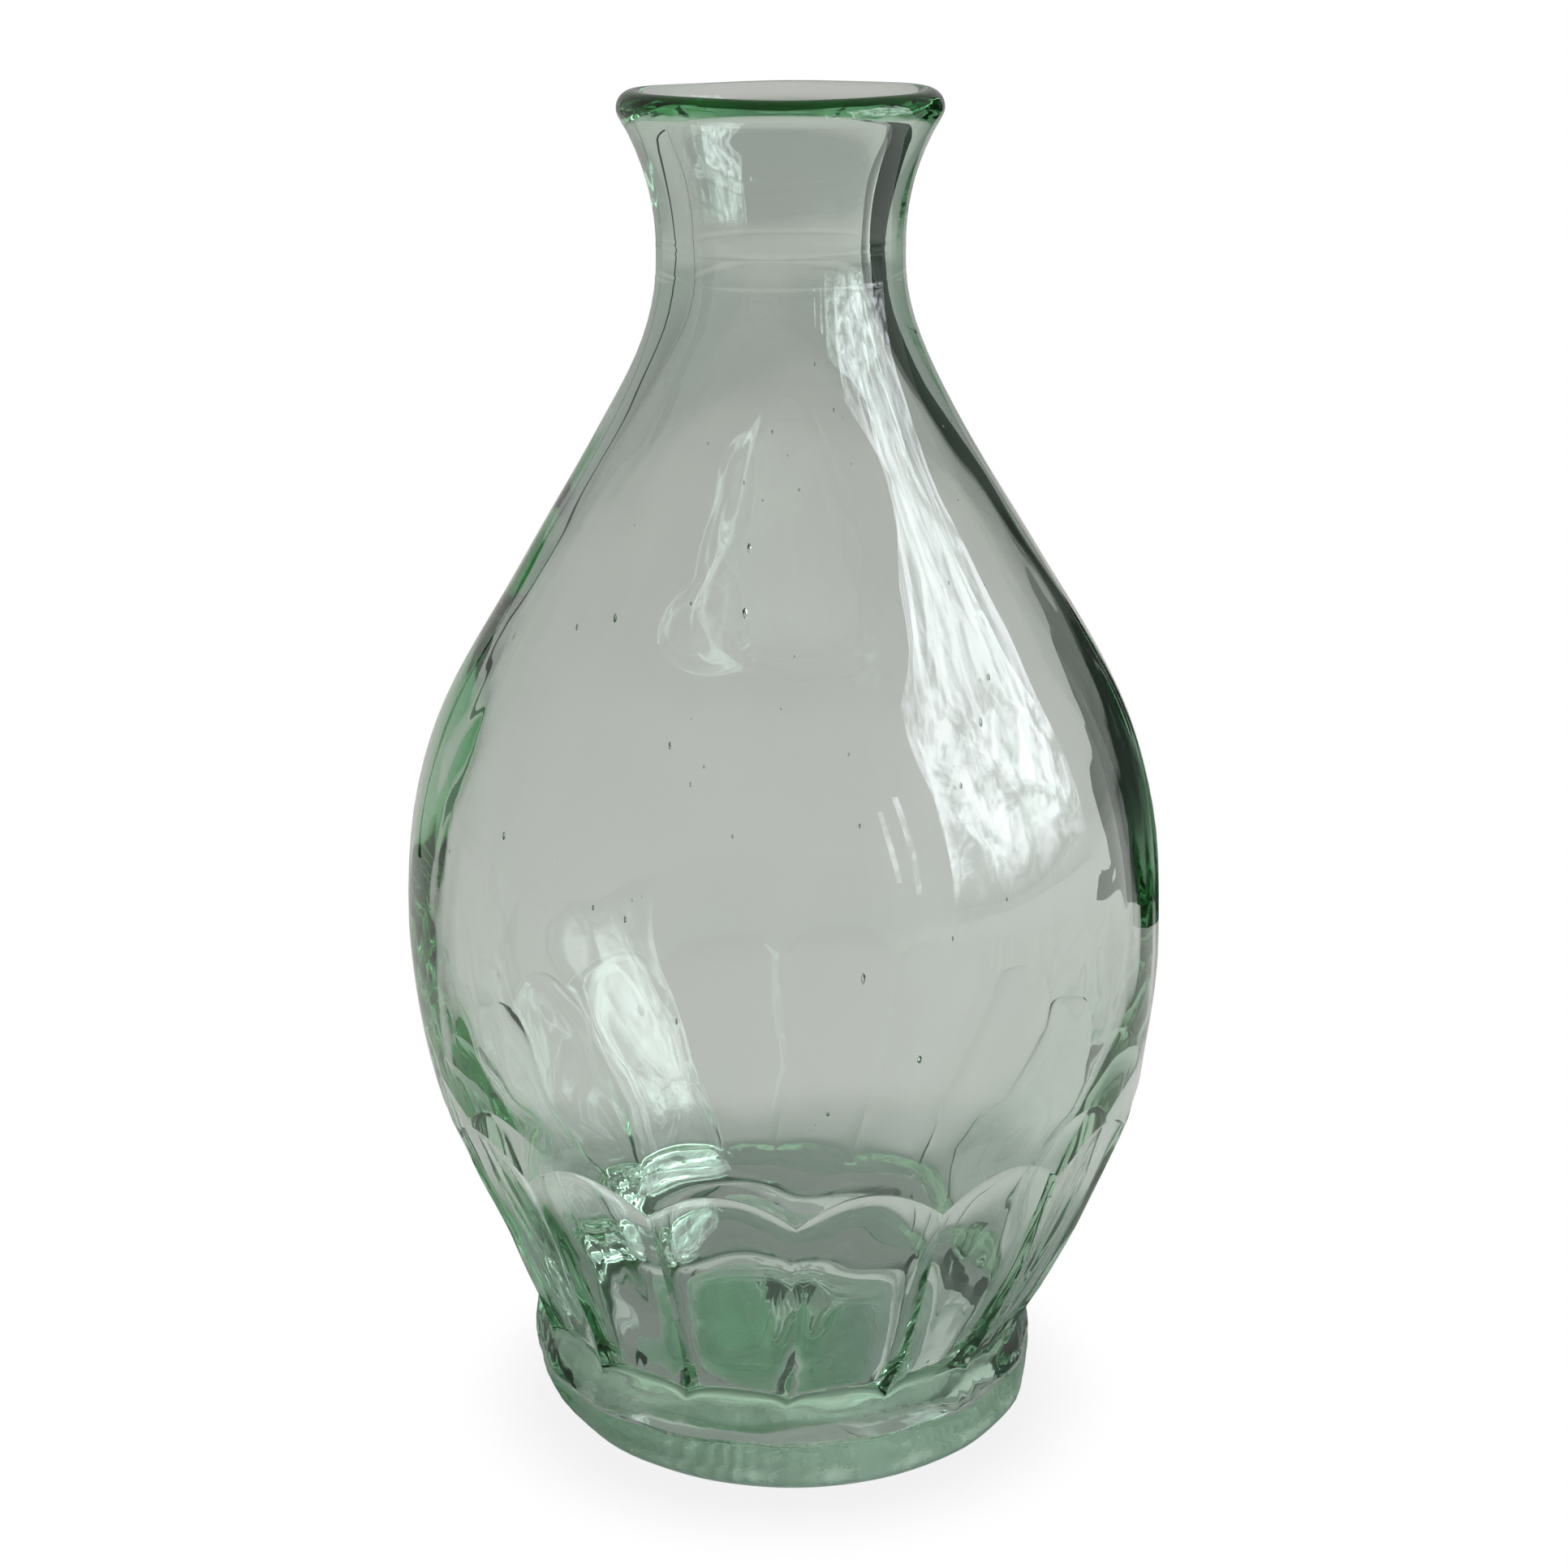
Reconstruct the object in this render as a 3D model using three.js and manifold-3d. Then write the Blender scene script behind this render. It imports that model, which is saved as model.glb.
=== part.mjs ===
// Ovoid glass vase: one piece of pressed and blown glass with a flared, beaded lip, a narrow neck,
// an egg-shaped body, a ring of arched panels round its lower part and a rolled foot with a punt.
// Millimetres, +Z up. The origin is the middle of the foot, on the surface the vase stands on.
// One ridge between two panels faces -Y.

import * as THREE from "three";
import { mergeVertices } from "three/addons/utils/BufferGeometryUtils.js";
import Module from "manifold-3d";

// Overall sizes
const HEIGHT = 200; // top of the lip
const BELLY_RADIUS = 56.1; // widest outside radius
const BELLY_HEIGHT = 81; // level of the widest place
const SHOULDER_RADIUS = 38.5; // outside radius where the shoulder is straightest
const SHOULDER_SHARE = 0.54; // level of that place, as a share of the rise from belly to neck
const SHOULDER_LEAN = 31; // degrees from upright there
const NECK_RADIUS = 17.5; // narrowest outside radius
const NECK_BELOW_TOP = 23; // from the top of the lip down to the narrowest place

// Lip
const LIP_RADIUS = 22.8; // outside radius of the bead
const BEAD_RADIUS = 2.4; // radius of the bead's round section
const FLARE_ANGLE = 32; // degrees that the wall leans out where it runs into the bead
const MOUTH_LEAN = 42; // the same for the wall's inside, which is a funnel

// Wall
const NECK_WALL = 4.6;
const SHOULDER_WALL = 3.2;
const BELLY_WALL = 3.4;
const HEEL_WALL = 6; // beside the floor's round corner
const BASE_THICKNESS = 7; // in the middle, over the punt

// Cavity's floor
const FLOOR_CORNER = 9.5; // height of the round corner between the wall and the floor
const FLOOR_DOME = 7.5; // rise of the floor over the punt

// Arched panels
const PANEL_COUNT = 16;
const PANEL_TOP = 57; // level of the arches' crowns
const PANEL_CROWN = 0.4; // how far a ridge bows outwards between the foot and the arches
const PANEL_TUCK = 3.5; // depth of the ridges' lower ends inside the foot's roll
const TOE_RADIUS = 46; // radius of the egg shape's lower end, which the panels cut away
const TOE_LEVEL = 5.9;

// Foot
const FOOT_RADIUS = 38.5; // widest outside radius of the roll
const FOOT_WIDEST_LEVEL = 10;
const FOOT_HEIGHT = 19.5; // level where the roll's top has run in under the panels
const CONTACT_RADIUS = 30.3; // outside radius of the flat ring that the vase stands on
const CONTACT_WIDTH = 3.5;
const PUNT_DEPTH = 11;

// Handles of the curves, as shares of the rise that each curve spans. A longer handle holds the
// curve to its direction at that end for longer.
const HOLD_BELOW_BELLY = 0.26;
const HOLD_ABOVE_BELLY = 0.47;
const HOLD_BELOW_SHOULDER = 0.34;
const HOLD_ABOVE_SHOULDER = 0.56;
const HOLD_BELOW_NECK = 0.26;
const HOLD_ABOVE_NECK = 0.12;
const HOLD_AT_BEAD = 0.54;
const HOLD_AT_MOUTH = 0.3;
const HOLD_AT_BORE = 0.5;
const HOLD_AT_TOE = 0.74;
const HOLD_EVENLY = 0.35; // for plain curves
const HOLD_ROUNDLY = 0.55; // for quarter rounds

// Facets
const SEGMENTS_PER_PANEL = 6;
const AROUND = PANEL_COUNT * SEGMENTS_PER_PANEL;
const LONG_CURVE_STEPS = 9;
const CURVE_STEPS = 5;
const SHORT_CURVE_STEPS = 4;
const PLAIN_CURVE_STEPS = 3;
const WELD = 1e-4; // points nearer than this are one point

const radians = THREE.MathUtils.degToRad;
const at = (radius, height) => new THREE.Vector2(radius, height);

// Levels and radii that follow from the sizes above
const neckLevel = HEIGHT - NECK_BELOW_TOP;
const shoulderLevel = THREE.MathUtils.lerp(BELLY_HEIGHT, neckLevel, SHOULDER_SHARE);
const beadCentre = at(LIP_RADIUS - BEAD_RADIUS, HEIGHT - BEAD_RADIUS);
const floorLevel = PUNT_DEPTH + BASE_THICKNESS - FLOOR_DOME;
const cornerLevel = floorLevel + FLOOR_CORNER;

// Depths inside the base's glass, as shares from below, where the hidden ends of the panels, the
// wall and the foot lie
const PANEL_END_SHARE = 0.35;
const WALL_END_SHARE = 0.4;
const FOOT_END_SHARE = 0.75;

// Points of a cubic curve, with each handle given as a step from its own end.
function sweep(start, startHandle, endHandle, end, steps) {
  const curve = new THREE.CubicBezierCurve(
    start,
    start.clone().add(startHandle),
    end.clone().add(endHandle),
    end,
  );
  return curve.getPoints(steps);
}

// Points of an upright part of an ellipse, between two angles in degrees.
function ellipseArc(centre, radiusAcross, radiusUp, fromAngle, toAngle, steps) {
  const curve = new THREE.EllipseCurve(
    centre.x,
    centre.y,
    radiusAcross,
    radiusUp,
    radians(fromAngle),
    radians(toAngle),
  );
  return curve.getPoints(steps);
}

// Joins stretches of a profile and drops the points that two neighbours share.
function profileOf(...stretches) {
  return stretches
    .flat()
    .filter((point, i, all) => i === 0 || point.distanceTo(all[i - 1]) > WELD);
}

// Radius of a rising stretch of profile at a level.
function radiusAt(points, level) {
  const next = points.findIndex((point) => point.y >= level);
  const low = points[Math.max(next - 1, 0)];
  const high = points[next];
  const share = high === low ? 0 : (level - low.y) / (high.y - low.y);
  return THREE.MathUtils.lerp(low.x, high.x, share);
}

// A profile turned about the vertical axis. It runs upwards on the outside of the solid.
function turned(points, segments) {
  return new THREE.LatheGeometry(points, segments).rotateX(Math.PI / 2);
}

// From the belly over the leaning shoulder to the neck, for the outside and the inside alike.
function shoulderCurve(bellyRadius, shoulderRadius, neckRadius, steps) {
  const belly = at(bellyRadius, BELLY_HEIGHT);
  const shoulder = at(shoulderRadius, shoulderLevel);
  const neck = at(neckRadius, neckLevel);
  const lean = at(-Math.sin(radians(SHOULDER_LEAN)), Math.cos(radians(SHOULDER_LEAN)));
  const lowerRise = shoulderLevel - BELLY_HEIGHT;
  const upperRise = neckLevel - shoulderLevel;
  const intoShoulder = lean.clone().multiplyScalar(-lowerRise * HOLD_BELOW_SHOULDER);
  const outOfShoulder = lean.clone().multiplyScalar(upperRise * HOLD_ABOVE_SHOULDER);
  return [
    ...sweep(belly, at(0, lowerRise * HOLD_ABOVE_BELLY), intoShoulder, shoulder, steps),
    ...sweep(shoulder, outOfShoulder, at(0, -upperRise * HOLD_BELOW_NECK), neck, steps),
  ];
}

// Outside of the body below the belly. The panels cut its lower half away.
function bodyBelowBelly() {
  const toe = at(TOE_RADIUS, TOE_LEVEL);
  const belly = at(BELLY_RADIUS, BELLY_HEIGHT);
  const rise = belly.y - toe.y;
  const outOfToe = belly.clone().sub(toe).multiplyScalar(HOLD_AT_TOE);
  return sweep(toe, outOfToe, at(0, -rise * HOLD_BELOW_BELLY), belly, LONG_CURVE_STEPS);
}

// The lip: a flare from the neck that runs smoothly into a round bead and over its top, to where
// the funnel inside begins.
function lipOutside() {
  const neck = at(NECK_RADIUS, neckLevel);
  const lean = radians(FLARE_ANGLE);
  const meetsBead = at(Math.cos(lean), -Math.sin(lean)).multiplyScalar(BEAD_RADIUS).add(beadCentre);
  const rise = meetsBead.y - neckLevel;
  const intoBead = at(-Math.sin(lean), -Math.cos(lean)).multiplyScalar(rise * HOLD_AT_BEAD);
  return profileOf(
    sweep(neck, at(0, rise * HOLD_ABOVE_NECK), intoBead, meetsBead, CURVE_STEPS),
    ellipseArc(beadCentre, BEAD_RADIUS, BEAD_RADIUS, -FLARE_ANGLE, 90, SHORT_CURVE_STEPS),
    ellipseArc(beadCentre, BEAD_RADIUS, BEAD_RADIUS, 90, 180 - MOUTH_LEAN, PLAIN_CURVE_STEPS),
  );
}

// Where the cavity's floor meets its round corner.
function floorEdge(ridge) {
  return at(radiusAt(ridge, cornerLevel) - HEEL_WALL - FLOOR_CORNER, floorLevel);
}

// The mouth, bore and cavity, from the bead down to the middle of the floor. Beside the floor's
// corner the wall's inside runs parallel to the ridges outside.
function cavityInside(ridge) {
  const lean = radians(MOUTH_LEAN);
  const mouth = at(-Math.cos(lean), Math.sin(lean)).multiplyScalar(BEAD_RADIUS).add(beadCentre);
  const bore = at(NECK_RADIUS - NECK_WALL, neckLevel);
  const rise = mouth.y - bore.y;
  const funnel = at(-Math.sin(lean), -Math.cos(lean)).multiplyScalar(rise * HOLD_AT_MOUTH);

  const belly = at(BELLY_RADIUS - BELLY_WALL, BELLY_HEIGHT);
  const shoulderRadius = SHOULDER_RADIUS - SHOULDER_WALL / Math.cos(radians(SHOULDER_LEAN));

  const heelRidge = radiusAt(ridge, cornerLevel);
  const heel = at(heelRidge - HEEL_WALL, cornerLevel);
  const heelLean = (radiusAt(ridge, cornerLevel + FLOOR_CORNER) - heelRidge) / FLOOR_CORNER;
  const alongWall = at(heelLean, 1);
  const wallDrop = belly.y - heel.y;
  const outOfHeel = alongWall.clone().multiplyScalar(wallDrop * HOLD_EVENLY);
  const intoCorner = alongWall.clone().multiplyScalar(-FLOOR_CORNER * HOLD_ROUNDLY);

  const edge = floorEdge(ridge);
  const floorMiddle = at(0, floorLevel + FLOOR_DOME);
  const alongFloor = at(edge.x * HOLD_EVENLY, 0);
  return profileOf(
    sweep(mouth, funnel, at(0, rise * HOLD_AT_BORE), bore, SHORT_CURVE_STEPS),
    shoulderCurve(belly.x, shoulderRadius, bore.x, SHORT_CURVE_STEPS).reverse(),
    sweep(belly, at(0, -wallDrop * HOLD_EVENLY), outOfHeel, heel, PLAIN_CURVE_STEPS),
    sweep(heel, intoCorner, at(FLOOR_CORNER * HOLD_ROUNDLY, 0), edge, SHORT_CURVE_STEPS),
    sweep(edge, alongFloor.clone().negate(), alongFloor, floorMiddle, SHORT_CURVE_STEPS),
  );
}

// Line of the ridges between the panels. The crowns of the arches lie on the body at PANEL_TOP,
// so a ridge, at a panel's corner, stands further out there by the polygon's own share.
function ridgeLine(belowBelly) {
  const foot = at(FOOT_RADIUS - PANEL_TUCK, FOOT_WIDEST_LEVEL);
  const crownRadius = radiusAt(belowBelly, PANEL_TOP);
  const top = at(crownRadius / Math.cos(Math.PI / PANEL_COUNT), PANEL_TOP);
  const chord = top.clone().sub(foot);
  const outwards = at(chord.y, -chord.x).normalize();
  const middle = foot.clone().lerp(top, 0.5).addScaledVector(outwards, 2 * PANEL_CROWN);
  const start = middle.clone().sub(foot);
  const endLevel = floorLevel * PANEL_END_SHARE;
  const hidden = foot.clone().addScaledVector(start, (endLevel - foot.y) / start.y);
  return [hidden, ...new THREE.QuadraticBezierCurve(foot, middle, top).getPoints(CURVE_STEPS)];
}

// Many-sided solid whose flat sides are the panels. Over the arches it leans on outwards, clear
// of the body and the lip, so that it only cuts the panels.
function panelSides(ridge) {
  const top = ridge[ridge.length - 1];
  const lean = top.clone().sub(ridge[ridge.length - 2]).normalize();
  const above = HEIGHT + BEAD_RADIUS - top.y;
  const rim = top.clone().addScaledVector(lean, above / lean.y);
  rim.x = Math.max(rim.x, 2 * BELLY_RADIUS);
  return turned([at(0, ridge[0].y), ...ridge, rim, at(0, rim.y)], PANEL_COUNT);
}

// A line through the base's glass, between the punt and the floor, from the middle to the corner.
function throughBase(ridge, share) {
  const middle = at(0, PUNT_DEPTH + BASE_THICKNESS * share);
  return [middle, at(floorEdge(ridge).x, floorLevel * share)];
}

// The glass wall as one turned section: body, lip, bore and cavity, with its lower end in the foot.
function wall(belowBelly, ridge) {
  const section = profileOf(
    throughBase(ridge, WALL_END_SHARE),
    belowBelly,
    shoulderCurve(BELLY_RADIUS, SHOULDER_RADIUS, NECK_RADIUS, CURVE_STEPS),
    lipOutside(),
    cavityInside(ridge),
  );
  return turned(section, AROUND);
}

// The foot: flat contact ring, rolled side, and a domed punt underneath. The roll's top and its
// hidden inner side end in the middle of the wall's glass, wherever the wall stands.
function foot(ridge) {
  const inWall = (level) => at(radiusAt(ridge, level) - HEEL_WALL / 2, level);
  const side = at(CONTACT_RADIUS, FOOT_WIDEST_LEVEL);
  const top = at(inWall(FOOT_HEIGHT).x, FOOT_WIDEST_LEVEL);
  const hidden = throughBase(ridge, FOOT_END_SHARE).reverse();
  const puntEdge = at(CONTACT_RADIUS - CONTACT_WIDTH, 0);
  const alongPunt = at(puntEdge.x * HOLD_EVENLY, 0);
  const upFromEdge = at(-PUNT_DEPTH, PUNT_DEPTH).multiplyScalar(HOLD_EVENLY);
  const topHeight = FOOT_HEIGHT - FOOT_WIDEST_LEVEL;
  const section = profileOf(
    sweep(at(0, PUNT_DEPTH), alongPunt, upFromEdge, puntEdge, SHORT_CURVE_STEPS),
    ellipseArc(side, FOOT_RADIUS - side.x, FOOT_WIDEST_LEVEL, -90, 0, CURVE_STEPS),
    ellipseArc(top, FOOT_RADIUS - top.x, topHeight, 0, 90, SHORT_CURVE_STEPS),
    [inWall(hidden[0].y), ...hidden],
  );
  return turned(section, AROUND);
}

const wasm = await Module();
wasm.setup();

// A closed geometry as a solid that can be joined and cut.
function solidOf(geometry) {
  const bare = geometry.clone();
  bare.deleteAttribute("normal");
  bare.deleteAttribute("uv");
  const merged = mergeVertices(bare, WELD);
  const corners = merged.index.array;
  const triangles = [];
  for (let i = 0; i < corners.length; i += 3) {
    const [a, b, c] = corners.slice(i, i + 3);
    if (a !== b && b !== c && c !== a) triangles.push(a, b, c);
  }
  return new wasm.Manifold(
    new wasm.Mesh({
      numProp: 3,
      vertProperties: merged.attributes.position.array,
      triVerts: new Uint32Array(triangles),
    }),
  );
}

function geometryOf(solid) {
  const mesh = solid.getMesh();
  const geometry = new THREE.BufferGeometry();
  geometry.setAttribute("position", new THREE.BufferAttribute(mesh.vertProperties, 3));
  geometry.setIndex(new THREE.BufferAttribute(mesh.triVerts, 1));
  const flat = geometry.toNonIndexed();
  flat.computeVertexNormals();
  return flat;
}

// The whole vase: the turned wall, cut to the panels' flat sides, standing in its foot.
function vaseBody() {
  const belowBelly = bodyBelowBelly();
  const ridge = ridgeLine(belowBelly);
  const panelled = solidOf(wall(belowBelly, ridge)).intersect(solidOf(panelSides(ridge)));
  return geometryOf(panelled.add(solidOf(foot(ridge))));
}

const paleGreenGlass = new THREE.MeshStandardMaterial({
  color: 0xb3c6b8,
  roughness: 0.06,
  metalness: 0,
  transparent: true,
  opacity: 0.4,
});

const vase = new THREE.Group();
const glass = new THREE.Mesh(vaseBody(), paleGreenGlass);
glass.name = "vase_body";
vase.add(glass);

export default vase;
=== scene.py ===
"""Ovoid vase of pale green recycled glass, pressed and blown in a mould, on a pale studio floor.

The vase is one piece: a flared lip with a round bead, a narrow neck, an egg-shaped body, sixteen
arched panels round its lower part, and a rolled foot with a contact ring and a punt.
"""

import math
import random

import bmesh
import bpy
import numpy as np
from mathutils import Matrix, Vector
from mathutils.geometry import interpolate_bezier


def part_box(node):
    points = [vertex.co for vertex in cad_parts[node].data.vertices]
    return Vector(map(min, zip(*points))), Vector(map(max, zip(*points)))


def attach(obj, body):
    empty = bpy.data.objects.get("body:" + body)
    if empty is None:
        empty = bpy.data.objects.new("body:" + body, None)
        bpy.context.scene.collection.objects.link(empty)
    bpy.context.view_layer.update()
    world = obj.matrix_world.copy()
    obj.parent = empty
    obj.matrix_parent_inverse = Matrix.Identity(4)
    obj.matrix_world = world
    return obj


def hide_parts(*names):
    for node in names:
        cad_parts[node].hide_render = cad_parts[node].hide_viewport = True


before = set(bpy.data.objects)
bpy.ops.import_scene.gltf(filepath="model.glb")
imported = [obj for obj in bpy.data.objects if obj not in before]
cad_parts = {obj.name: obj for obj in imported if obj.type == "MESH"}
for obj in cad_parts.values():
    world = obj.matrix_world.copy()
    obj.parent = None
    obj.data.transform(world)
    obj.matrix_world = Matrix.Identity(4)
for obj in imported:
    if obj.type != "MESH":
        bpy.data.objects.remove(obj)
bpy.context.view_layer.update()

bl_info = {
    "name": "Ovoid glass vase",
    "version": (1, 0, 0),
    "blender": (4, 5, 0),
    "location": "View3D > Sidebar > Vase",
    "description": "Builds an ovoid vase of pale green recycled glass and the studio it stands in",
    "category": "Object",
}

NODE = "vase_body"
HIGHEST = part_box(NODE)[1]
MM = 0.001


def length(name, description, default):
    """A size in metres."""
    return bpy.props.FloatProperty(
        name=name, description=description, default=default, unit="LENGTH", precision=5
    )


def angle(name, description, degrees):
    return bpy.props.FloatProperty(
        name=name, description=description, default=math.radians(degrees), subtype="ANGLE"
    )


def count(name, description, default):
    return bpy.props.IntProperty(
        name=name, description=description, default=default, subtype="UNSIGNED"
    )


def hex_colour(name, description, default):
    return bpy.props.StringProperty(name=name, description=description, default=default, maxlen=7)


class VaseForm(bpy.types.PropertyGroup):
    """Sizes of the glass."""

    height: length("Height", "Top of the lip", HIGHEST.z)
    belly_radius: length("Belly radius", "Widest outside radius", HIGHEST.x)
    belly_height: length("Belly height", "Level of the widest place", 81 * MM)
    shoulder_radius: length("Shoulder radius", "Outside, where the shoulder is straightest", 38.5 * MM)
    shoulder_height: length("Shoulder height", "Level of that place", 132.8 * MM)
    shoulder_lean: angle("Shoulder lean", "From upright, there", 31)
    neck_radius: length("Neck radius", "Narrowest outside radius", 17.5 * MM)
    neck_below_top: length("Neck below top", "From the lip down to the narrowest place", 23 * MM)
    lip_radius: length("Lip radius", "Outside radius of the bead", 22.8 * MM)
    bead_radius: length("Bead radius", "Of the bead's round section", 2.4 * MM)
    flare_angle: angle("Flare", "From upright, where the wall runs into the bead", 32)
    mouth_lean: angle("Mouth lean", "From upright, of the inside where it leaves the bead", 42)
    neck_wall: length("Neck wall", "Thickness of the glass at the neck", 4.6 * MM)
    shoulder_wall: length("Shoulder wall", "Thickness of the glass at the shoulder", 3.2 * MM)
    belly_wall: length("Belly wall", "Thickness of the glass at the belly", 3.4 * MM)
    heel_wall: length("Heel wall", "Thickness beside the floor's round corner", 6 * MM)
    base_thickness: length("Base thickness", "In the middle, over the punt", 7 * MM)
    floor_corner: length("Floor corner", "Height of the round corner inside", 9.5 * MM)
    floor_dome: length("Floor dome", "Rise of the inner floor over the punt", 7.5 * MM)
    panel_count: count("Panels", "Flat panels round the lower body", 16)
    panel_top: length("Panel top", "Level of the arches' crowns", 57 * MM)
    panel_crown: length("Panel crown", "How far a ridge bows outwards", 0.4 * MM)
    panel_hollow: length("Panel hollow", "How far a panel's middle lies inside a flat one", 0.3 * MM)
    panel_tuck: length("Panel tuck", "Depth of the ridges' lower ends in the foot", 3.5 * MM)
    toe_radius: length("Toe radius", "Of the egg shape's lower end, cut away by the panels", 46 * MM)
    foot_radius: length("Foot radius", "Widest outside radius of the roll", 38.5 * MM)
    foot_widest_level: length("Foot widest level", "Level of that radius", 10 * MM)
    foot_height: length("Foot height", "Level where the roll has run in under the panels", 19.5 * MM)
    contact_radius: length("Contact radius", "Outside radius of the ring it stands on", 30.3 * MM)
    contact_width: length("Contact width", "Of that ring", 3.5 * MM)
    punt_depth: length("Punt depth", "Rise of the hollow underneath", 11 * MM)
    knurl_count: count("Knurls", "Grooves round the slope inside the contact ring", 64)
    knurl_depth: length("Knurl depth", "Of those grooves, where they are least worn", 0.35 * MM)


class VaseGlass(bpy.types.PropertyGroup):
    """Colour and clearness of the glass."""

    tint: hex_colour("Tint", "Colour that thick glass lets through", "#7BD89C")
    depth: bpy.props.FloatProperty(
        name="Tint depth", description="Absorption of the other colours, per metre", default=30
    )
    ior: bpy.props.FloatProperty(name="IOR", description="Of soda-lime glass", default=1.52)


class VaseStage(bpy.types.PropertyGroup):
    """Camera of the studio."""

    camera_distance: length("Camera distance", "From the vase's axis", 403.9 * MM)
    camera_height: length("Camera height", "Above the floor", 225.6 * MM)
    camera_pitch: angle("Camera pitch", "Down from level", 17.365)
    camera_roll: angle("Camera roll", "Clockwise", 0.304)
    camera_turn: angle("Camera turn", "Round the vase, from the ridge at the front", -0.9)
    lens: bpy.props.FloatProperty(
        name="Lens", description="Focal length in mm", default=65.26, unit="CAMERA"
    )
    sensor: bpy.props.FloatProperty(
        name="Sensor", description="Width in mm", default=36, unit="CAMERA"
    )


# Curves of the vase's section, as points of radius and height


def sweep(start, start_handle, end_handle, end, steps):
    """Points of a cubic curve, with each handle given as a step from its own end."""
    start, end = Vector(start), Vector(end)
    handles = start + Vector(start_handle), end + Vector(end_handle)
    return [p.copy() for p in interpolate_bezier(start, *handles, end, steps + 1)]


def arc(centre, across, up, from_degrees, to_degrees, steps):
    """Points of an upright part of an ellipse."""
    step = (to_degrees - from_degrees) / steps
    turns = [math.radians(from_degrees + step * i) for i in range(steps + 1)]
    return [Vector((centre[0] + across * math.cos(t), centre[1] + up * math.sin(t))) for t in turns]


def radius_at(points, level):
    """Radius of a rising line of points at a level, or at an array of them."""
    return np.interp(level, [p.y for p in points], [p.x for p in points])


def soft_min(a, b, softness):
    """The lesser of two lengths, with a rounded change from one to the other."""
    near = np.maximum(softness - np.abs(a - b), 0) / softness
    return np.minimum(a, b) - near * near * softness / 4


def soft_max(a, b, softness):
    return -soft_min(-a, -b, softness)


# Handles of the curves, as shares of what each curve spans. A longer handle holds the curve's
# direction for longer.
HOLD_BELOW_BELLY = 0.26
HOLD_ABOVE_BELLY = 0.47
HOLD_BELOW_SHOULDER = 0.34
HOLD_ABOVE_SHOULDER = 0.56
HOLD_BELOW_NECK = 0.26
HOLD_ABOVE_NECK = 0.12
HOLD_AT_BEAD = 0.54
HOLD_AT_MOUTH = 0.38
HOLD_AT_TOE = 0.74
HOLD_EVENLY = 0.35  # for plain curves
HOLD_ROUNDLY = 0.55  # for quarter rounds
BORE_HANDLE = 2.07726 * MM  # short, so that the bore is narrow along a small stretch only

TOE_LEVEL = 5.9 * MM  # of the egg shape's lower end
BODY_STEPS = 60
SHOULDER_STEPS = 16
RIDGE_SOFTNESS = 0.4 * MM  # how far the meeting surfaces blend into each other
ARCH_SOFTNESS = 0.06 * MM
CREASE_SOFTNESS = 0.6 * MM
HOLLOW_UNDER_ARCH = 0.12 * MM  # how far inside its edges a panel's hollow sets in
HOLLOW_BESIDE_RIDGE = 1.5 * MM
HOLLOW_AT_FOOT = 3  # how many times deeper it is over the foot
DEEP_HOLLOW_RISE = 14 * MM  # and how far up it still is deeper


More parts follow.
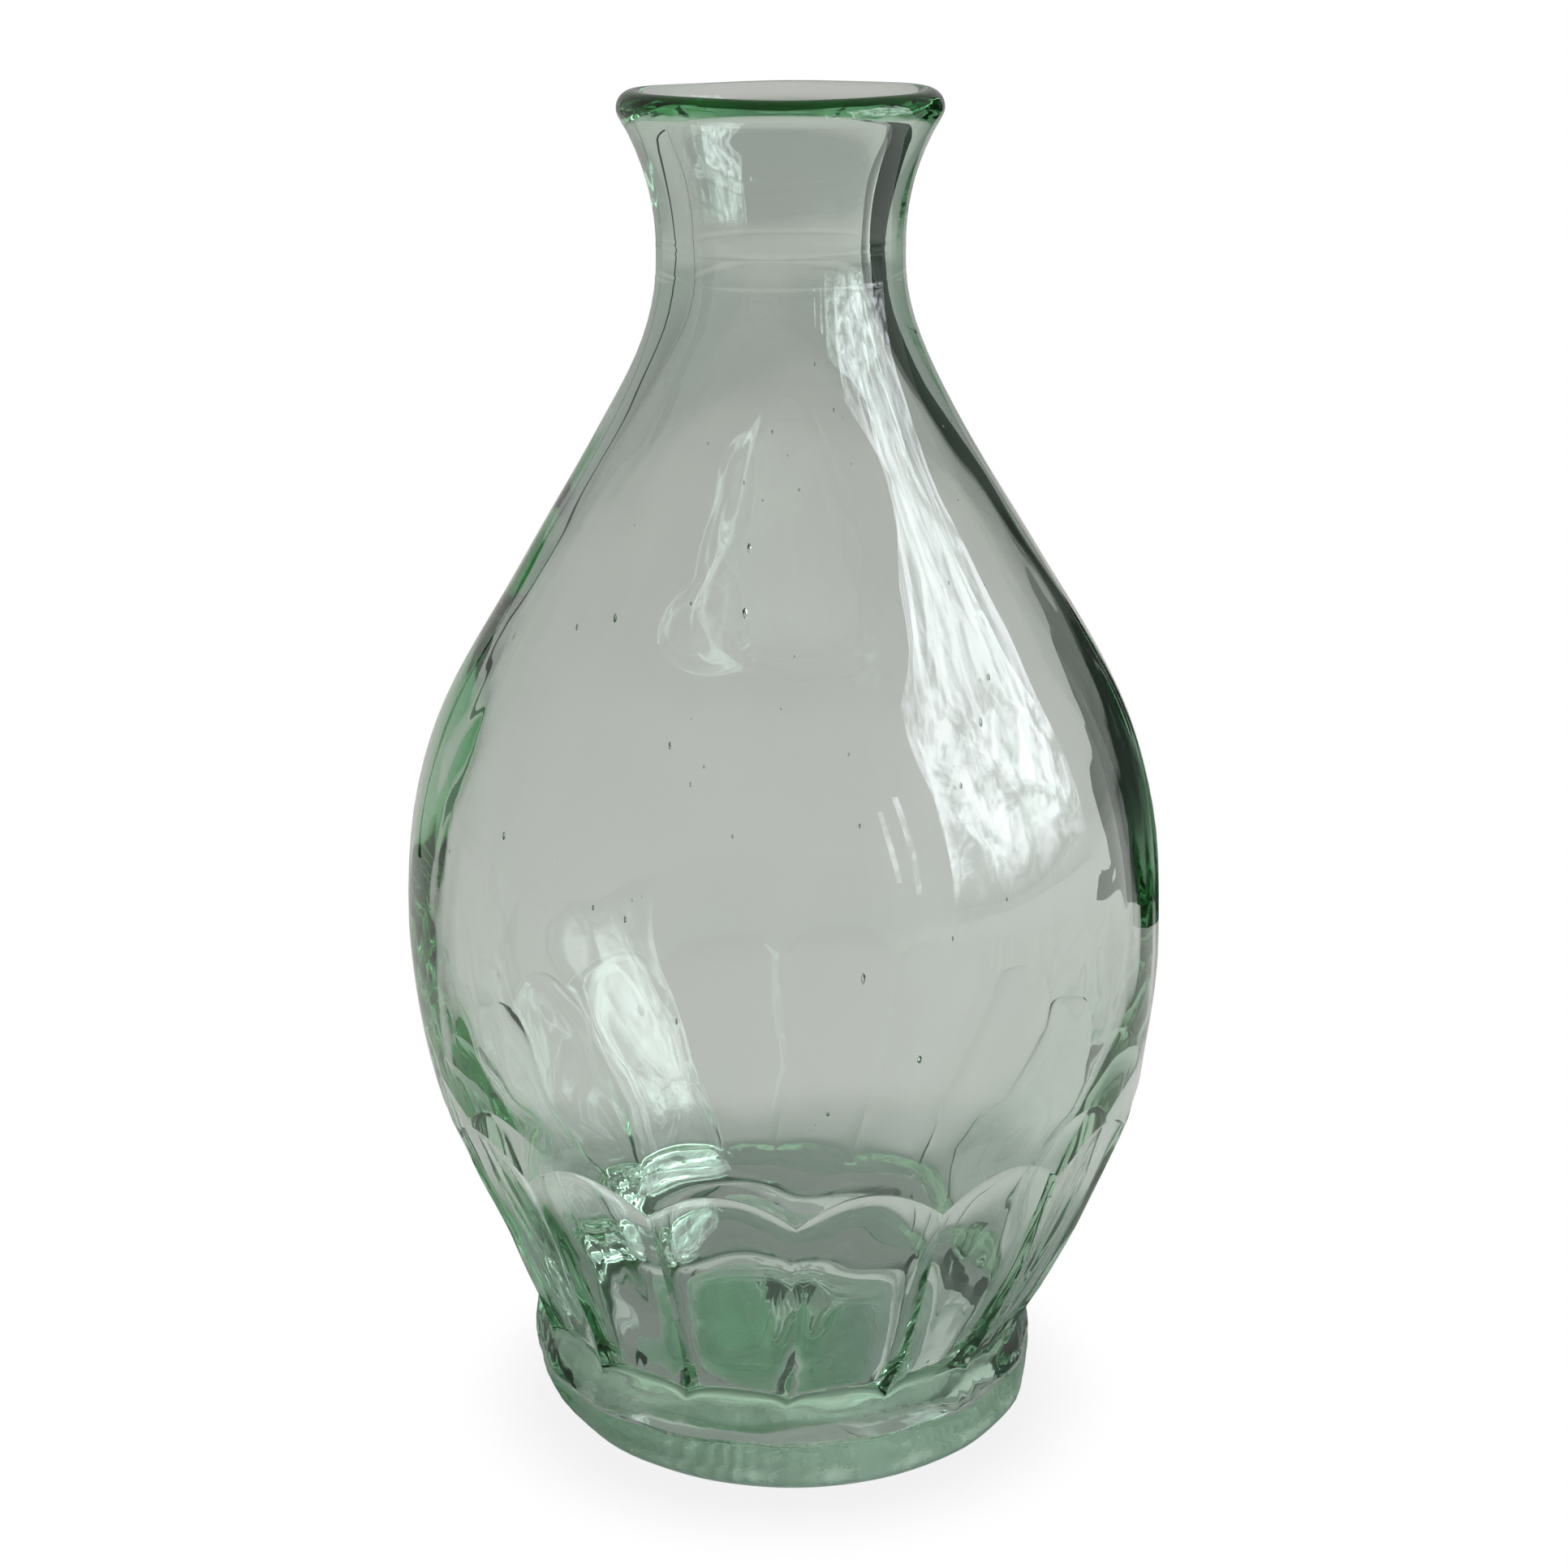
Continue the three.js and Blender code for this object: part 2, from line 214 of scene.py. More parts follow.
class Section:
    """The outlines that the vase's outside and inside follow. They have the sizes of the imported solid."""

    def __init__(self, form):
        self.form = form
        self.neck_level = form.height - form.neck_below_top
        self.bead_centre = Vector((form.lip_radius - form.bead_radius, form.height - form.bead_radius))
        self.floor_level = form.punt_depth + form.base_thickness - form.floor_dome
        self.corner_level = self.floor_level + form.floor_corner
        self.below_belly = self.body_below_belly(BODY_STEPS)
        self.ridge = self.ridge_line(steps=30)

    def shoulder(self, belly_radius, shoulder_radius, neck_radius, steps):
        """From the belly over the leaning shoulder to the neck."""
        form = self.form
        lean = Vector((-math.sin(form.shoulder_lean), math.cos(form.shoulder_lean)))
        lower = form.shoulder_height - form.belly_height
        upper = self.neck_level - form.shoulder_height
        belly = (belly_radius, form.belly_height)
        middle = (shoulder_radius, form.shoulder_height)
        neck = (neck_radius, self.neck_level)
        into_middle = -HOLD_BELOW_SHOULDER * lower * lean
        out_of_middle = HOLD_ABOVE_SHOULDER * upper * lean
        return [
            *sweep(belly, (0, HOLD_ABOVE_BELLY * lower), into_middle, middle, steps),
            *sweep(middle, out_of_middle, (0, -HOLD_BELOW_NECK * upper), neck, steps),
        ]

    def body_below_belly(self, steps):
        form = self.form
        toe = Vector((form.toe_radius, TOE_LEVEL))
        belly = Vector((form.belly_radius, form.belly_height))
        into_belly = (0, -HOLD_BELOW_BELLY * (belly.y - toe.y))
        return sweep(toe, HOLD_AT_TOE * (belly - toe), into_belly, belly, steps)

    def ridge_line(self, steps):
        """Line of the ridges between the panels. The arches' crowns lie on the body."""
        form = self.form
        foot = Vector((form.foot_radius - form.panel_tuck, form.foot_widest_level))
        crown = radius_at(self.below_belly, form.panel_top)
        top = Vector((crown / math.cos(math.pi / form.panel_count), form.panel_top))
        outwards = Vector(((top - foot).y, -(top - foot).x)).normalized()
        middle = foot.lerp(top, 0.5) + outwards * 2 * form.panel_crown
        points = sweep(foot, (middle - foot) * 2 / 3, (middle - top) * 2 / 3, top, steps)
        below = points[0] + (points[0] - points[1]) * steps
        above = points[-1] + (points[-1] - points[-2]) * steps
        return [below, *points, above]

    def flare(self):
        """From the neck out to the bead."""
        form = self.form
        lean = form.flare_angle
        meets_bead = self.bead_centre + form.bead_radius * Vector((math.cos(lean), -math.sin(lean)))
        rise = meets_bead.y - self.neck_level
        out_of_neck = (0, HOLD_ABOVE_NECK * rise)
        into_bead = -HOLD_AT_BEAD * rise * Vector((math.sin(lean), math.cos(lean)))
        return sweep((form.neck_radius, self.neck_level), out_of_neck, into_bead, meets_bead, steps=12)

    def bead(self):
        """Round the lip, up over its top and down its inner side."""
        form = self.form
        radius = form.bead_radius
        over = 180 - math.degrees(form.mouth_lean)
        return arc(self.bead_centre, radius, radius, -math.degrees(form.flare_angle), over, steps=18)

    def inside(self):
        """From the bead's inner side down to the middle of the floor."""
        form = self.form
        mouth = self.bead()[-1]
        bore = Vector((form.neck_radius - form.neck_wall, self.neck_level))
        along_mouth = Vector((math.sin(form.mouth_lean), math.cos(form.mouth_lean)))
        funnel = along_mouth * (mouth.y - bore.y) * HOLD_AT_MOUTH
        belly = Vector((form.belly_radius - form.belly_wall, form.belly_height))
        shoulder_radius = form.shoulder_radius - form.shoulder_wall / math.cos(form.shoulder_lean)
        heel_ridge = radius_at(self.ridge, self.corner_level)
        heel = Vector((heel_ridge - form.heel_wall, self.corner_level))
        widening = radius_at(self.ridge, self.corner_level + form.floor_corner) - heel_ridge
        along_wall = Vector((widening / form.floor_corner, 1))
        drop = (belly.y - heel.y) * HOLD_EVENLY
        corner = form.floor_corner * HOLD_ROUNDLY
        edge = Vector((heel.x - form.floor_corner, self.floor_level))
        along_floor = Vector((edge.x * HOLD_EVENLY, 0))
        middle = (0, self.floor_level + form.floor_dome)
        return [
            *sweep(mouth, -funnel, (0, BORE_HANDLE), bore, steps=12),
            *reversed(self.shoulder(belly.x, shoulder_radius, bore.x, steps=14)),
            *sweep(belly, (0, -drop), along_wall * drop, heel, steps=16),
            *sweep(heel, -along_wall * corner, (corner, 0), edge, steps=10),
            *sweep(edge, -along_floor, along_floor, middle, steps=8),
        ]

    def underside(self):
        """From the middle of the punt over the contact ring and up the foot's roll to its widest level."""
        form = self.form
        inner_edge = Vector((form.contact_radius - form.contact_width, 0))
        outer_edge = Vector((form.contact_radius, 0))
        along = (inner_edge.x * HOLD_EVENLY, 0)
        up = Vector((-1, 1)) * form.punt_depth * HOLD_EVENLY
        centre = (form.contact_radius, form.foot_widest_level)
        width = form.foot_radius - form.contact_radius
        return [
            *sweep((0, form.punt_depth), along, up, inner_edge, steps=16),
            *sweep(inner_edge, (0, 0), (0, 0), outer_edge, steps=2),
            *arc(centre, width, form.foot_widest_level, from_degrees=-90, to_degrees=0, steps=16),
        ]

    def foot_radius_at(self, level):
        """Outside of the roll over its widest level, and nothing above its top."""
        form = self.form
        top = radius_at(self.ridge, form.foot_height) - form.heel_wall / 2
        share = (level - form.foot_widest_level) / (form.foot_height - form.foot_widest_level)
        roll = top + (form.foot_radius - top) * np.sqrt(np.maximum(1 - share * share, 0))
        return np.where(share < 1, roll, 0)

    def arch_level(self, turn):
        """Level of the arch's edge over a panel, where the flat meets the egg shape."""
        form = self.form
        half = math.pi / form.panel_count
        across = np.abs((turn + math.pi / 2) % (2 * half) - half)
        levels = np.linspace(form.foot_height, form.panel_top + 1 * MM, num=200)
        egg, flat = radius_at(self.below_belly, levels), radius_at(self.ridge, levels) * math.cos(half)
        steps = np.linspace(0, half, num=13)
        edges = [np.interp(0, flat / math.cos(step) - egg, levels) for step in steps]
        return np.interp(across, steps, edges)

    def outside_at(self, level, turn):
        """Outside radius between the foot's widest level and the belly, at a turn round the axis."""
        form = self.form
        panel = math.tau / form.panel_count
        from_ridge = np.abs((turn + math.pi / 2 + panel / 2) % panel - panel / 2)
        flat = radius_at(self.ridge, level) * math.cos(panel / 2)
        own = flat / np.cos(panel / 2 - from_ridge)
        next_one = flat / np.cos(panel / 2 + from_ridge)
        panelled = soft_min(own, next_one, RIDGE_SOFTNESS)
        egg = radius_at(self.below_belly, level)
        below_arch = np.maximum(egg - panelled, 0)
        beside_ridge = egg * from_ridge
        hollow = 1 - np.exp(-below_arch / HOLLOW_UNDER_ARCH)
        hollow *= 1 - np.exp(-beside_ridge / HOLLOW_BESIDE_RIDGE)
        rise = [form.foot_height, form.foot_height + DEEP_HOLLOW_RISE]
        depth = np.interp(level, rise, [HOLLOW_AT_FOOT * form.panel_hollow, form.panel_hollow])
        body = soft_min(egg, panelled - depth * hollow, ARCH_SOFTNESS)
        return soft_max(self.foot_radius_at(level), body, CREASE_SOFTNESS)


# The vase's mesh

SEGMENTS = 384  # a whole number for each panel and each knurl
SEGMENTS_PER_PANEL = 24
ROWS_AT_ARCHES = (-2, -1.2, -0.7, -0.35, -0.15, 0, 0.15, 0.4, 0.9, 1.8)  # in mm from their crowns
ROWS_AT_RING = (-0.6, -0.3, 0, 0.3, 0.6)  # in mm from its middle
ROWS_STAY_LEVEL = 4 * MM  # this far over the foot, and then bend up to the arches
NECK_RINGS = 174.4 * MM, 178.9 * MM  # faint joints of the mould round the neck
SAME_POINT = 1e-7
SAME_PLACE = 0.01 * MM
CRISP_ANGLE = math.radians(25)  # edges sharper than this are shaded crisp
CRISP_LENGTH = 0.35 * MM  # but not if they are shorter than this


def rows_between(low, high, spacing):
    """Evenly spaced levels, without the first."""
    rows = round((high - low) / spacing)
    return [low + (high - low) * (i + 1) / rows for i in range(rows)]


def spun(bm, points):
    """Turns a line of radius and height once round the axis, first by one panel's width.

    The new vertices come back.
    """
    parts = bm.verts, bm.edges, bm.faces
    before = [len(part) for part in parts]
    once_round = {"cent": (0, 0, 0), "axis": (0, 0, 1)}
    panels = SEGMENTS // SEGMENTS_PER_PANEL
    line = [bm.verts.new((p.x, 0, p.y)) for p in points]
    edges = [bm.edges.new(pair) for pair in zip(line, line[1:])]
    steps = SEGMENTS_PER_PANEL
    bmesh.ops.spin(bm, geom=line + edges, angle=math.tau / panels, steps=steps, **once_round)
    for part in parts:
        part.ensure_lookup_table()
    sector = [element for part, start in zip(parts, before) for element in part[start:]]
    rest = math.tau * (panels - 1) / panels
    bmesh.ops.spin(bm, geom=sector, angle=rest, steps=panels - 1, use_duplicate=True, **once_round)
    bm.verts.ensure_lookup_table()
    return bm.verts[before[0] :]


def move(verts, new_places):
    """Moves vertices with a function from an array of places to new ones."""
    places = new_places(np.array([vert.co for vert in verts]))
    for vert, place in zip(verts, places):
        vert.co = place


def without_repeats(points):
    return [p for i, p in enumerate(points) if i == 0 or (p - points[i - 1]).length > SAME_POINT]


def with_rows_at(points, levels):
    """A rising line of points with more of them at some levels."""
    more = [Vector((float(radius_at(points, level)), level)) for level in levels]
    return sorted(points + more, key=lambda p: p.y)


def outer_shoulder(section):
    form = section.form
    return section.shoulder(form.belly_radius, form.shoulder_radius, form.neck_radius, SHOULDER_STEPS)


def outside_points(section):
    """The outside's line as it is spun. Its panels are pressed in afterwards."""
    form = section.form
    near_arch = [form.panel_top + step * MM for step in ROWS_AT_ARCHES]
    near_rings = [ring + step * MM for ring in NECK_RINGS for step in ROWS_AT_RING]
    levels = rows_between(form.foot_widest_level, form.foot_height + 1 * MM, spacing=0.6 * MM)
    levels += rows_between(levels[-1], near_arch[0], spacing=1.2 * MM) + near_arch[1:]
    levels += rows_between(near_arch[-1], form.belly_height, spacing=2 * MM)
    return without_repeats(
        section.underside()
        + [Vector((radius_at(section.below_belly, z), z)) for z in levels]
        + with_rows_at(outer_shoulder(section) + section.flare(), near_rings)
        + section.bead()
    )


# Unevenness of the glass

WAVES = 16  # that are added up for one kind of unevenness
WAVE_SPREAD = 0.6, 1.5  # of how close they lie
FRONT = math.pi / 2  # added to a turn, it counts from the ridge at the front
SIDES = math.radians(68)  # how far round from the front the body's streaks are strongest
STREAKED = math.radians(32)
NECK_RING_HEIGHT = 0.03 * MM
NECK_RING_WIDTH = 0.3 * MM
FOOT_BULGE = 0.5 * MM  # of the roll, low down
FOOT_RIDGES = 0.25 * MM  # how far the roll follows the ridges and panels
WORN_FRONT = 0.36  # how far round the foot's stipple is worn away, and how sharply that ends
WORN_FRONT_EDGE = 3
PUNT_ENDS = 0.6  # share of the punt's depth, below which the contact ring and its slope lie
RING_SCALLOPS = 0.8 * MM  # of the ring's inner edge
KNURLS_INSIDE_RING = 3 * MM
LEAST_WORN = math.radians(-26)  # where the knurls are deepest, left of the front
LITTLE_WORN = math.radians(17)
WORN_SHARE = 0.15  # of their depth is left all round
INNER_RIDGES = 0.35 * MM  # how far the inside follows the ridges and panels
NEAR_AXIS = 8 * MM  # where the wall's unevenness has to fade out
SAG_LEVELS = np.array([0, 4, 9, 17, 24, 35, 50, 62, 80]) * MM
SAG_SHIFTS = np.array([1.2, 0.5, -0.7, -0.8, 0.3, 0.8, 0.6, 0.2, 0]) * MM
LIP_LEVEL = 186 * MM  # where the lip's unevenness sets in
LIP_RISE = 12 * MM  # and how much higher it is whole
LIP_TILT = 0.12 * MM
LIP_DENTS = 0.05 * MM


def ripples(places, height, spacing, seed, squeeze=1):
    """Smooth unevenness, mostly within a height each way, with waves of about one spacing each way.

    A squeeze makes the waves lie that many times closer upwards than sideways.
    """
    chance = np.random.default_rng(seed)
    ways = chance.normal(size=(WAVES, 3))
    ways *= math.tau / spacing / np.linalg.norm(ways, axis=1, keepdims=True)
    ways *= chance.uniform(*WAVE_SPREAD, size=(WAVES, 1))
    phases = chance.uniform(0, math.tau, size=WAVES)
    waves = np.sin(places * (1, 1, squeeze) @ ways.T + phases)
    return height * (waves.sum(axis=1) / math.sqrt(WAVES))


def between(value, low, high, fade):
    """A mask that is 1 between two values and fades to 0 outside them."""
    return np.clip((value - low) / fade + 1, 0, 1) * np.clip((high - value) / fade + 1, 0, 1)


def bell(value, middle, width):
    """A mask that is 1 at one value and falls away to both sides of it."""
    return np.exp(-(((value - middle) / width) ** 2))


def outwards_at(turn):
    return np.column_stack((np.cos(turn), np.sin(turn), 0 * turn))


def facets(form, turn):
    """1 at the ridges and -1 in the middle of the panels."""
    return np.cos(form.panel_count * (turn + FRONT))


def body_waves(places, level, aside):
    """Fire-polished waves, streaks low down at the sides and the mould's two joints round the neck."""
    waves = ripples(places, height=0.06 * MM, spacing=17 * MM, seed=3)
    waves += ripples(places, height=0.16 * MM, spacing=48 * MM, seed=4)
    waves += ripples(places, height=0.014 * MM, spacing=6 * MM, seed=9, squeeze=0.25)
    waves *= between(level, low=25 * MM, high=190 * MM, fade=6 * MM)
    streaks = ripples(places, height=0.07 * MM, spacing=3.4 * MM, seed=7, squeeze=0.15)
    streaks *= between(level, low=14 * MM, high=52 * MM, fade=8 * MM)
    waves += streaks * bell(np.abs(aside), SIDES, STREAKED)
    for ring in NECK_RINGS:
        waves += NECK_RING_HEIGHT * bell(level, ring, NECK_RING_WIDTH)
    return waves


def foot_waves(form, places, level, turn):
    """The foot's roll is squeezed unevenly, bulges, follows the panels and is stippled but in front."""
    waves = ripples(places, height=0.08 * MM, spacing=24 * MM, seed=6, squeeze=5)
    waves *= between(level, low=4 * MM, high=19 * MM, fade=3 * MM)
    waves += FOOT_BULGE * between(level, low=2.4 * MM, high=3.4 * MM, fade=2.4 * MM)
    follows = between(level, low=6 * MM, high=13 * MM, fade=5 * MM)
    waves += FOOT_RIDGES * facets(form, turn) * follows
    stipple = ripples(places, height=0.05 * MM, spacing=2.2 * MM, seed=5)
    stipple *= between(level, low=4 * MM, high=15 * MM, fade=4 * MM)
    off_front = np.abs(np.sin((turn + FRONT) / 2))
    return waves + stipple * (0.5 + 0.5 * np.tanh(WORN_FRONT_EDGE * (off_front - WORN_FRONT)))


def outside_shape(section, places):
    """The outside with its panels pressed in, its foot's roll, its knurls and its waves."""
    form = section.form
    x, y, level = places.T
    turn = np.arctan2(y, x)
    aside = np.arctan2(x, -y)
    pressed = (level > form.foot_widest_level) & (level < form.belly_height)
    bends = [form.foot_height + ROWS_STAY_LEVEL, form.panel_top, form.belly_height]
    follows_arch = np.interp(level, bends, [0, 1, 0]) * pressed
    level = level - follows_arch * (form.panel_top - section.arch_level(turn))
    radius = np.where(pressed, section.outside_at(level, turn), np.hypot(x, y))
    new = np.column_stack((radius * np.cos(turn), radius * np.sin(turn), level))
    waves = body_waves(places, level, aside) + foot_waves(form, places, level, turn)
    underneath = level < PUNT_ENDS * form.punt_depth
    ring = form.contact_radius - form.contact_width
    at_ring = between(radius, low=ring - 1 * MM, high=ring + 1 * MM, fade=2 * MM)
    waves += underneath * at_ring * RING_SCALLOPS * facets(form, turn)
    slope = ring - KNURLS_INSIDE_RING
    on_slope = between(radius, low=slope - 2 * MM, high=slope + 2 * MM, fade=2 * MM)
    unworn = WORN_SHARE + (1 - WORN_SHARE) * bell(aside, LEAST_WORN, LITTLE_WORN)
    knurls = form.knurl_depth * (0.5 - 0.5 * np.cos(form.knurl_count * turn))
    new[:, 2] += underneath * on_slope * unworn * knurls
    return slumped(new + outwards_at(turn) * waves[:, None])


def inside_shape(section, places):
    """The inside. It was blown, so the wall's thickness wanders, and follows the panels a little."""
    form = section.form
    x, y, level = places.T
    turn = np.arctan2(y, x)
    thick = ripples(places, height=0.3 * MM, spacing=70 * MM, seed=11)
    thick += ripples(places, height=0.06 * MM, spacing=18 * MM, seed=12)
    low_down = ripples(places, height=0.3 * MM, spacing=22 * MM, seed=13)
    thick += low_down * between(level, low=12 * MM, high=60 * MM, fade=12 * MM)
    follows = between(level, low=24 * MM, high=46 * MM, fade=12 * MM)
    thick -= INNER_RIDGES * facets(form, turn) * follows
    off_middle = np.clip(np.hypot(x, y) / NEAR_AXIS, 0, 1)
    thick *= off_middle * between(level, low=0, high=190 * MM, fade=6 * MM)
    new = places - outwards_at(turn) * thick[:, None]
    floor = ripples(places, height=0.14 * MM, spacing=22 * MM, seed=14)
    new[:, 2] += floor * between(level, low=0, high=17 * MM, fade=6 * MM)
    return slumped(new)


def slumped(places):
    """The glass sagged a little to its right while it was hot, and its lip was flared by hand."""
    turn = np.arctan2(places[:, 1], places[:, 0])
    at_lip = np.clip((places[:, 2] - LIP_LEVEL) / LIP_RISE, 0, 1)
    uneven = LIP_TILT * np.sin(2 * turn + 0.9) + LIP_DENTS * np.sin(5 * turn)
    places = places + np.outer(at_lip * uneven, (0, 0, 1))
    return places + np.outer(np.interp(places[:, 2], SAG_LEVELS, SAG_SHIFTS), (1, 0, 0))


# Roughness of the glass, kept at its vertices, from 0 where it is polished to 1

SATIN = 0.6  # of the underside
SATIN_FADE = 1.5 * MM
HAZE = 0.38  # of the inside's floor, which water has dulled
HAZE_LEVEL = 13.5 * MM
HAZE_FADE = 2 * MM


def satin_of(form, places):
    """How rough the mould and the table have left the underside, from its contact ring to its punt."""
    x, y, level = places.T
    under = np.clip((form.contact_radius - np.hypot(x, y)) / SATIN_FADE + 1, 0, 1)
    return SATIN * under * (level < form.punt_depth + 1 * MM)


def haze_at(level):
    return HAZE * min(max((HAZE_LEVEL - level) / HAZE_FADE, 0), 1)


# Seeds

PLAIN_SEEDS = (  # turn in degrees from the front to the right, level in mm, size in mm
    (-9, 142, 0.35),
    (-9, 134, 0.45),
    (-38, 132, 0.35),
    (40, 124, 0.4),
    (35, 119, 0.4),
    (28, 112, 0.3),
    (-48, 103, 0.3),
    (10, 89, 0.4),
    (18, 77, 0.45),
    (-20, 118, 0.3),
    (-24, 96, 0.25),
    (5, 70, 0.3),
)
SMALL_SEEDS = 60
SMALL_SEED_LEVELS = 64, 160  # in mm
SMALL_SEED_SIZES = 0.1, 0.24  # in mm
OFF_MID_WALL = 0.5  # in mm
SEED_SHAPE = 0.7, 0.8  # widths of a seed, as shares of its size
SEED_DRAWN_OUT = 1.2, 2.6


def add_seeds(bm, section):
    """Small bubbles that stayed in the wall, drawn out upwards when the glass was blown.

    Their faces look into the bubbles, away from the glass.
    """
    wall = section.below_belly + outer_shoulder(section)
    chance = random.Random(5)
    seeds = [(math.radians(turn), level * MM, size * MM) for turn, level, size in PLAIN_SEEDS]
    for _ in range(SMALL_SEEDS):
        turn = chance.uniform(0, math.tau)
        level = chance.uniform(*SMALL_SEED_LEVELS) * MM
        seeds.append((turn, level, chance.uniform(*SMALL_SEED_SIZES) * MM))
    for turn, level, size in seeds:
        depth = section.form.belly_wall / 2 + chance.uniform(-OFF_MID_WALL, OFF_MID_WALL) * MM
        centre = Matrix.Rotation(turn - FRONT, 4, "Z") @ Matrix.Translation(
            (float(radius_at(wall, level)) - depth, 0, level)
        )
        place = centre @ Matrix.Diagonal((*SEED_SHAPE, chance.uniform(*SEED_DRAWN_OUT), 1))
        seed = bmesh.ops.create_icosphere(bm, subdivisions=1, radius=size, matrix=place)
        faces = {face for vert in seed["verts"] for face in vert.link_faces}
        bmesh.ops.reverse_faces(bm, faces=list(faces))


def vase_mesh(form):
    section = Section(form)
    bm = bmesh.new()
    satin = bm.verts.layers.float.new("satin")
    outside = spun(bm, outside_points(section))
    move(outside, lambda places: outside_shape(section, places))
    for vert, value in zip(outside, satin_of(form, np.array([vert.co for vert in outside]))):
        vert[satin] = value
    inside = spun(bm, without_repeats(section.inside()))
    for vert in inside:
        vert[satin] = haze_at(vert.co.z)
    move(inside, lambda places: inside_shape(section, places))
    bmesh.ops.remove_doubles(bm, verts=bm.verts[:], dist=SAME_PLACE)
    bmesh.ops.recalc_face_normals(bm, faces=bm.faces[:])
    add_seeds(bm, section)
    for face in bm.faces:
        face.smooth = True
    for edge in bm.edges:
        edge.smooth = edge.calc_face_angle(0) < CRISP_ANGLE or edge.calc_length() < CRISP_LENGTH
    mesh = bpy.data.meshes.new("vase_glass")
    bm.to_mesh(mesh)
    bm.free()
    return mesh


# Materials

# Sockets of the nodes that give several of theirs one name
COLOUR_A, COLOUR_B, MIXED_COLOUR = 6, 7, 2  # of Mix
SHADER_A, SHADER_B = 1, 2  # of Mix Shader
VALUE_A, VALUE_B, VALUE_C = 0, 1, 2  # of Math


def linear(hex_value):
    """An sRGB hex value as linear red, green, blue and alpha."""
    parts = [int(hex_value[i : i + 2], 16) / 255 for i in (1, 3, 5)]
    return [p / 12.92 if p <= 0.04045 else ((p + 0.055) / 1.055) ** 2.4 for p in parts] + [1.0]


def add_node(tree, kind, settings=(), links=()):
    """Adds a node. Settings are attributes or sockets by name, and links are (own input, other output)."""
    node = tree.nodes.new(kind)
    for name, value in dict(settings).items():
        if isinstance(name, str) and hasattr(node, name):
            setattr(node, name, value)
        else:
            node.inputs[name].default_value = value
    for name, output in dict(links).items():
        tree.links.new(output, node.inputs[name])
    return node


def new_tree(name):
    material = bpy.data.materials.new(name)
    material.use_nodes = True
    material.node_tree.nodes.clear()
    return material, material.node_tree


def recycled_soda_lime_glass(glass):
    """Soda-lime glass from cullet, fire-polished: clear and pale where thin, green where thick.

    Its underside is satin from the mould and the table, and its inner floor hazy from water, so
    the thick base glows softly where clear glass would mirror. The satin's grain of 1.4 mm is
    coarser than the real one, so that the render can show it.
    """
    material, tree = new_tree("recycled_soda_lime_glass")
    where = add_node(tree, "ShaderNodeTexCoord")
    rough = add_node(tree, "ShaderNodeAttribute", {"attribute_name": "satin"})
    grain = add_node(
        tree,
        "ShaderNodeTexNoise",
        {"Scale": 1 / (1.4 * MM), "Detail": 1.0},
        {"Vector": where.outputs["Object"]},
    )
    stipple = add_node(
        tree,
        "ShaderNodeBump",
        {"Distance": 0.3 * MM},
        {"Height": grain.outputs["Fac"], "Strength": rough.outputs["Fac"]},
    )
    surface = add_node(
        tree,
        "ShaderNodeBsdfPrincipled",
        {"Base Color": (1, 1, 1, 1), "IOR": glass.ior, "Transmission Weight": 1.0},
        {"Roughness": rough.outputs["Fac"], "Normal": stipple.outputs["Normal"]},
    )
    tint = add_node(
        tree,
        "ShaderNodeVolumeAbsorption",
        {"Color": linear(glass.tint), "Density": glass.depth},
    )
    add_node(
        tree,
        "ShaderNodeOutputMaterial",
        links={"Surface": surface.outputs["BSDF"], "Volume": tint.outputs["Volume"]},
    )
    return material


class VASE_OT_glass(bpy.types.Operator):
    """Build the glass vase"""

    bl_idname = "vase.glass"
    bl_label = "Glass vase"
    bl_options = {"REGISTER", "UNDO"}

    def execute(self, context):
        vase = bpy.data.objects.new("vase_glass", vase_mesh(context.scene.vase_form))
        context.collection.objects.link(vase)
        vase.data.materials.append(recycled_soda_lime_glass(context.scene.vase_glass))
        vase.visible_shadow = False  # the floor's paper has a painted shade in place of the soft shade that glass throws
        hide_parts(NODE)
        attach(vase, "root")
        return {"FINISHED"}


# The studio

FLOOR_HALF_WIDTH = 10
PAPER_SHADES = {  # two distances from the vase's axis, and the values there
    # painted light under the vase's middle, and painted shade round the foot
    "off_painted_light": (26 * MM, 37 * MM, 0, 1),
    "off_painted_shade": (50 * MM, 110 * MM, 0, 1),
    "clear": (0.9, 2.6, 0, 1),
    # a painted soft shadow round the foot, which only the camera sees
    "shadow": (34 * MM, 54 * MM, 0.88, 1),
}
CURTAIN_DISTANCE = 1.25
DIFFUSER = {"around": 76, "width": 1.25, "low": 0.0, "high": 1.2}
CURTAIN_GAPS = (
    {"around": 37, "width": 0.045, "low": 0.22, "high": 0.72},
    {"around": 31, "width": 0.03, "low": 0.3, "high": 0.66},
)
RIGHT_FLAG = (0.088, 0.13, 0.03), (0.24, 0.13, 0.01), (0.26, 0.13, 0.25), (0.085, 0.13, 0.25)
LEFT_FLAG = (-0.176, 0.15, 0.04), (-0.164, 0.15, 0.04), (-0.095, 0.15, 0.24), (-0.104, 0.15, 0.24)
EVERY_RAY_BUT_CAMERA = ("diffuse", "glossy", "transmission", "shadow")
BOUNCES = 40  # light goes many times to and fro between the walls of glass


